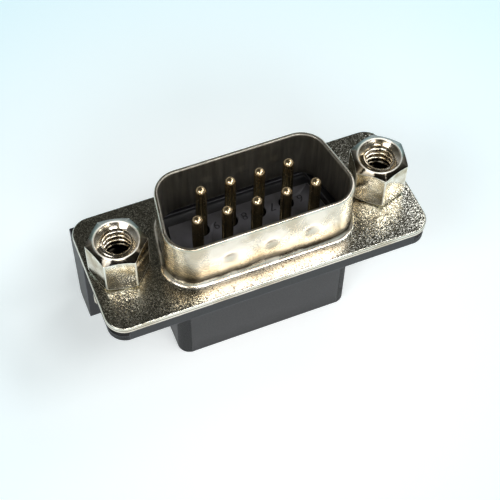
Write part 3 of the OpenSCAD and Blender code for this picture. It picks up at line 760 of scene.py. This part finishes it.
nickelled_steel = nickelled_bar("Nickel plated steel bar")
ridge_tree = thread_tree()
for side, turn in HEX_TURN.items():
    node = f"jackscrew_{side}"
    low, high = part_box(node)
    head = high[2] / MM
    stud_end = low[2] / MM
    shoulder = head - LAND_H
    entry_end = head - ENTRY_DEPTH
    rings = [(0.7, stud_end), (STUD_TIP_R, stud_end), (STUD_R, stud_end + STUD_TIP_H),
             (STUD_R, -0.02), (HEX_LAND, 0.0), (None, lambda r: (r - HEX_LAND) * CHAMFER),
             (None, lambda r: shoulder - (r - HEX_LAND) * CHAMFER), (HEX_LAND, shoulder),
             (HEX_LAND - 0.02, head - 0.02), (HEX_LAND - 0.06, head),
             (MOUTH_R + 0.04, head), (MOUTH_R, head - 0.03), (MOUTH_R - 0.13, head - 0.16),
             (ENTRY_R, entry_end), (ROOT_R, entry_end - 0.04),
             (ROOT_R, THREAD_FOOT), (CREST_R, THREAD_FOOT - 0.1), (0.1, BORE_FLOOR)]
    points, quads = turned_hexagon(HEX_AF, rings)
    body = bpy.data.meshes.new(node)
    body.from_pydata(points, [], quads)
    lock = put(f"screw_lock_{side}", body)
    mesh = bmesh.new()
    mesh.from_mesh(body)
    bmesh.ops.recalc_face_normals(mesh, faces=mesh.faces)
    mesh.to_mesh(body)
    mesh.free()
    bevel = lock.modifiers.new("worn edges", "BEVEL")
    bevel.width = 0.07 * MM
    bevel.segments = 2
    bevel.angle_limit = radians(40)
    body.shade_smooth()
    threads = {"head_thread": ((entry_end - THREAD_FOOT) / THREAD_PITCH, ROOT_R + 0.02,
                               HEAD_RIDGE, THREAD_FOOT),
               "stud_thread": ((-stud_end - 0.4) / THREAD_PITCH, STUD_R - 0.02, STUD_RIDGE,
                               stud_end + 0.2)}
    pieces = [lock] + [wound(f"{name}_{side}", ridge_tree, *sizes, nickelled_steel)
                       for name, sizes in threads.items()]
    for piece in pieces:
        piece.data.transform(Matrix.Translation(((low[0] + high[0]) / 2, 0, 0))
                             @ Matrix.Rotation(radians(turn), 4, "Z"))
    hand_over(lock, node, nickelled_steel)
    for piece in pieces[1:]:
        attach(piece, "root")
    finished_copy(f"captive_nut_{side}", 0.08, nickelled_steel, f"nut_{side}")


# ---------------------------------------------------------------------------
# Board locks: forked clips cut from tinned spring strip and pushed into the
# feet, where they hold the housing to the board before it is soldered.

def tinned_strip(name):
    """Matt tin over spring strip: pale grey and even, rolled along its length."""
    made, tree, shader, mm = new_material(name, metallic=1.0)
    along = add(tree, "ShaderNodeVectorMath", {0: mm, 1: [8.0, 0.7, 8.0]}, operation="MULTIPLY")
    rolling = add(tree, "ShaderNodeTexNoise", {"Vector": along.outputs[0], "Scale": 1.0,
                                               "Detail": 3.0})
    tone = add(tree, "ShaderNodeValToRGB", {"Fac": rolling.outputs["Fac"]},
               stops=[(0.3, "#a9a9a4"), (0.7, "#c9c9c4")])
    gloss = add(tree, "ShaderNodeMapRange",
                {"Value": rolling.outputs["Fac"], "To Min": 0.35, "To Max": 0.55})
    tree.links.new(tone.outputs["Color"], shader.inputs["Base Color"])
    tree.links.new(gloss.outputs["Result"], shader.inputs["Roughness"])
    return made


tin_strip = tinned_strip("Tinned spring strip")
for side in HEX_TURN:
    finished_copy(f"board_lock_{side}", 0.05, tin_strip, f"fork_{side}")


# ---------------------------------------------------------------------------
# Studio: a pale floor, soft lamps and a camera that looks down on the
# connector from its front left.

REACH = 0.6
WHITE_TO, BLUE_FROM = 12.0, 65.0  # distances from the middle of the part
GLOW = 0.35
floor_z = cad_box[0][2]
floor_mesh = bpy.data.meshes.new("floor")
floor_mesh.from_pydata([(-REACH, -REACH, floor_z), (REACH, -REACH, floor_z),
                        (REACH, REACH, floor_z), (-REACH, REACH, floor_z)], [], [(0, 1, 2, 3)])
floor = put("floor", floor_mesh)
# matt paper: white round the part and pale blue further out, with no pattern to see
paper, tree, shader, mm = new_material("Matt paper sweep", roughness=0.9)
far = add(tree, "ShaderNodeVectorMath", {0: mm}, operation="LENGTH")
blue = add(tree, "ShaderNodeMapRange", {"Value": far.outputs["Value"], "From Min": WHITE_TO,
                                        "From Max": BLUE_FROM})
colour = add(tree, "ShaderNodeMix", {0: blue.outputs["Result"], 6: linear("#f3f5f5"),
                                     7: linear("#c6ebf5")}, data_type="RGBA")
tree.links.new(colour.outputs[2], shader.inputs["Base Color"])
tree.links.new(colour.outputs[2], shader.inputs["Emission Color"])
ray = add(tree, "ShaderNodeLightPath")
seen = add(tree, "ShaderNodeMath", {0: ray.outputs["Is Camera Ray"],
                                    1: ray.outputs["Is Glossy Ray"]}, operation="MAXIMUM")
glow = add(tree, "ShaderNodeMath", {0: seen.outputs[0], 1: GLOW}, operation="MULTIPLY")
tree.links.new(glow.outputs[0], shader.inputs["Emission Strength"])
floor_mesh.materials.append(paper)

AIM = Vector((-0.73, -1.74, -1.30)) * MM


def placed(name, data, distance, azimuth, elevation, roll=0.0):
    """Puts a lamp or camera at a distance from the aim point. Azimuth 0 looks along +Y."""
    thing = put(name, data)
    a, e = radians(azimuth), radians(elevation)
    away = Vector((-sin(a) * cos(e), -cos(a) * cos(e), sin(e)))
    turn = away.to_track_quat("Z", "Y").to_matrix().to_4x4()
    thing.matrix_world = (Matrix.Translation(AIM + away * distance) @ turn
                          @ Matrix.Rotation(radians(roll), 4, "Z"))
    return thing


camera_data = bpy.data.cameras.new("camera")
camera_data.sensor_width = 36.0
camera_data.lens = 90.08
camera_data.clip_start = 0.001
scene.camera = placed("camera", camera_data, 113.6 * MM, azimuth=23.09, elevation=56.19,
                      roll=1.19)

# width and height in metres, power in watts, azimuth and elevation in degrees
LAMP_AWAY = 0.40
lamps = {"top_softbox": (0.14, 0.09, 0.34, -27.0, 56.0),
         "front_softbox": (0.22, 0.10, 0.45, 8.0, 33.0),
         "left_softbox": (0.20, 0.14, 0.50, 62.0, 42.0),
         "right_softbox": (0.14, 0.10, 0.35, -70.0, 49.0),
         "back_softbox": (0.16, 0.16, 0.22, -115.0, 42.0)}
for name, (width, height, power, azimuth, elevation) in lamps.items():
    lamp = bpy.data.lights.new(name, "AREA")
    lamp.shape = "RECTANGLE"
    lamp.size = width
    lamp.size_y = height
    lamp.energy = power
    placed(name, lamp, LAMP_AWAY, azimuth, elevation)

world = bpy.data.worlds.new("studio")
scene.world = world
world.use_nodes = True
sky = world.node_tree
toward = add(sky, "ShaderNodeTexCoord").outputs["Generated"]
up = add(sky, "ShaderNodeSeparateXYZ", {0: toward}).outputs["Z"]
shade = add(sky, "ShaderNodeValToRGB", {"Fac": up},
            stops=[(0.0, "#c9ccce"), (0.20, "#8f9293"), (0.50, "#46453f"), (1.0, "#3b3a36")])
sky.links.new(shade.outputs["Color"], sky.nodes["Background"].inputs["Color"])

scene.view_settings.view_transform = "Standard"
